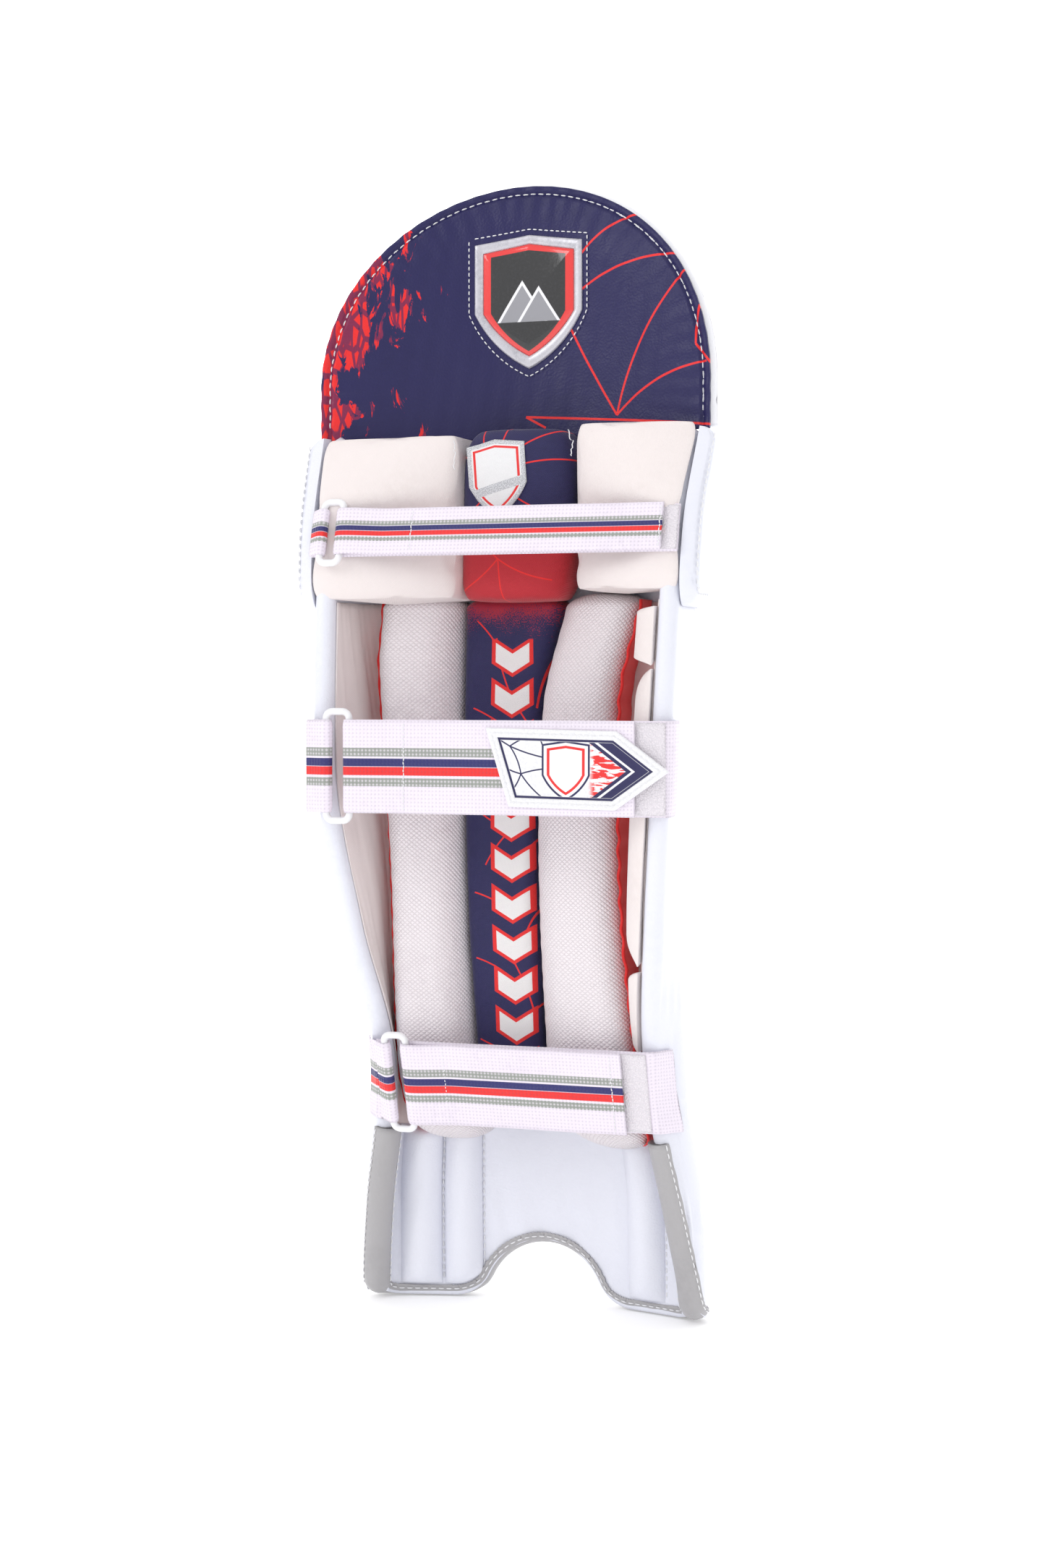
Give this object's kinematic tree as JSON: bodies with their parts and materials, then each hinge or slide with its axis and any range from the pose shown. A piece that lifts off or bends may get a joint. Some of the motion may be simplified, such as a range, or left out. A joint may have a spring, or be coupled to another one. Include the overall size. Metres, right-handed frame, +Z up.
{
  "type": "cricket leg pad",
  "caption": "Cricket batting leg guard: a padded U-shaped shell with knee rolls, shin ribs, a domed top flap, soft bolsters and striped hook-and-loop straps on rings.",
  "frame": {"origin": "on the ground, under the middle of the pad's bounding box, with the pad standing on its bottom edge", "axes": "+Z up the leg, +Y out of the front (ball side), -Y towards the leg side and its straps, +X to the right as seen from the leg side"},
  "size_m": [0.2418, 0.1394, 0.652],
  "materials": {
    "pu_white": "semi-gloss synthetic leather",
    "pu_navy": "semi-gloss printed synthetic leather",
    "pu_silver": "metallic synthetic leather",
    "foam": "open-cell foam",
    "cane": "natural",
    "twill_cream": "cotton twill",
    "mesh_white": "spacer mesh",
    "print_navy": "printed polyester",
    "webbing": "woven webbing",
    "loop": "brushed loop tape",
    "hook": "hook tape",
    "ring_plastic": "moulded",
    "badge_silver": "moulded, silver",
    "badge_black": "moulded, glossy",
    "patch_print": "printed woven patch",
    "patch_rubber": "moulded soft rubber"
  },
  "bodies": {
    "pad": {"front_cover": "pu_white", "front_foam": "foam", "wall_foam_left": "foam", "wall_foam_right": "foam", "wall_lining_left": "twill_cream", "wall_lining_right": "twill_cream", "instep_lining": "pu_white", "lower_binding": "pu_silver", "front_rib_1": "pu_white", "front_rib_2": "pu_white", "front_rib_3": "pu_white", "front_rib_4": "pu_white", "front_rib_5": "pu_white", "front_rib_6": "pu_white", "front_rib_7": "pu_white", "cane_rods": "cane", "knee_roll_lower": "pu_white", "knee_roll_middle": "pu_white", "knee_roll_upper": "pu_white", "knee_wing_left": "pu_white", "knee_wing_right": "pu_white", "bolster_left": "mesh_white", "bolster_right": "mesh_white", "bolster_core_left": "foam", "bolster_core_right": "foam", "shin_strip": "print_navy", "knee_pillow_left": "twill_cream", "knee_pillow_right": "twill_cream", "knee_centre_pad": "print_navy", "knee_patch": "patch_print", "side_roll_upper": "twill_cream", "side_pad": "twill_cream", "side_roll_lower": "twill_cream", "instep_roll_left_outer": "pu_white", "instep_roll_left_inner": "pu_white", "instep_roll_right": "pu_white", "knee_tab": "webbing", "knee_strap_anchor": "webbing", "knee_loop_tape": "loop", "calf_tab": "webbing", "calf_strap_anchor": "webbing", "calf_loop_tape": "loop", "ankle_tab": "webbing", "ankle_strap_anchor": "webbing", "ankle_loop_tape": "loop"},
    "top_flap": {"flap_cover": "pu_white", "flap_foam": "foam", "flap_liner": "pu_navy", "badge_rim": "badge_silver", "badge_face": "badge_black"},
    "knee_ring_body": {"knee_ring": "ring_plastic"},
    "knee_strap_end": {"knee_strap_free": "webbing", "knee_hook_patch": "hook"},
    "calf_ring_body": {"calf_ring": "ring_plastic"},
    "calf_strap_end": {"calf_strap_free": "webbing", "calf_hook_patch": "hook", "calf_tip_patch": "patch_rubber"},
    "ankle_ring_body": {"ankle_ring": "ring_plastic"},
    "ankle_strap_end": {"ankle_strap_free": "webbing", "ankle_hook_patch": "hook"}
  },
  "joints": [
    {"name": "knee_ring_swivel", "type": "hinge", "parent": "pad", "child": "knee_ring_body", "pos_m": [-0.101, -0.05144, 0.4511], "axis": [0, -0.2756, -0.9613], "range_deg": [0, 15]},
    {"name": "knee_strap_peel", "type": "hinge", "parent": "knee_ring_body", "child": "knee_strap_end", "pos_m": [-0.089, -0.05144, 0.4511], "axis": [0, -0.2756, -0.9613], "range_deg": [0, 120]},
    {"name": "calf_ring_swivel", "type": "hinge", "parent": "pad", "child": "calf_ring_body", "pos_m": [-0.0925, -0.0656, 0.32], "axis": [0, 0, -1], "range_deg": [0, 15]},
    {"name": "calf_strap_peel", "type": "hinge", "parent": "calf_ring_body", "child": "calf_strap_end", "pos_m": [-0.0785, -0.0656, 0.32], "axis": [0, 0, -1], "range_deg": [0, 120]},
    {"name": "ankle_ring_swivel", "type": "hinge", "parent": "pad", "child": "ankle_ring_body", "pos_m": [-0.075, -0.01665, 0.1359], "axis": [0, 0.2756, -0.9613], "range_deg": [0, 15]},
    {"name": "ankle_strap_peel", "type": "hinge", "parent": "ankle_ring_body", "child": "ankle_strap_end", "pos_m": [-0.062, -0.01665, 0.1359], "axis": [0, 0.2756, -0.9613], "range_deg": [0, 120]},
    {"name": "top_flap_flex", "type": "hinge", "parent": "pad", "child": "top_flap", "pos_m": [0, 0.0317, 0.509], "axis": [-1, 0, 0], "range_deg": [0, 20], "stiffness_Nm_per_rad": 3}
  ]
}
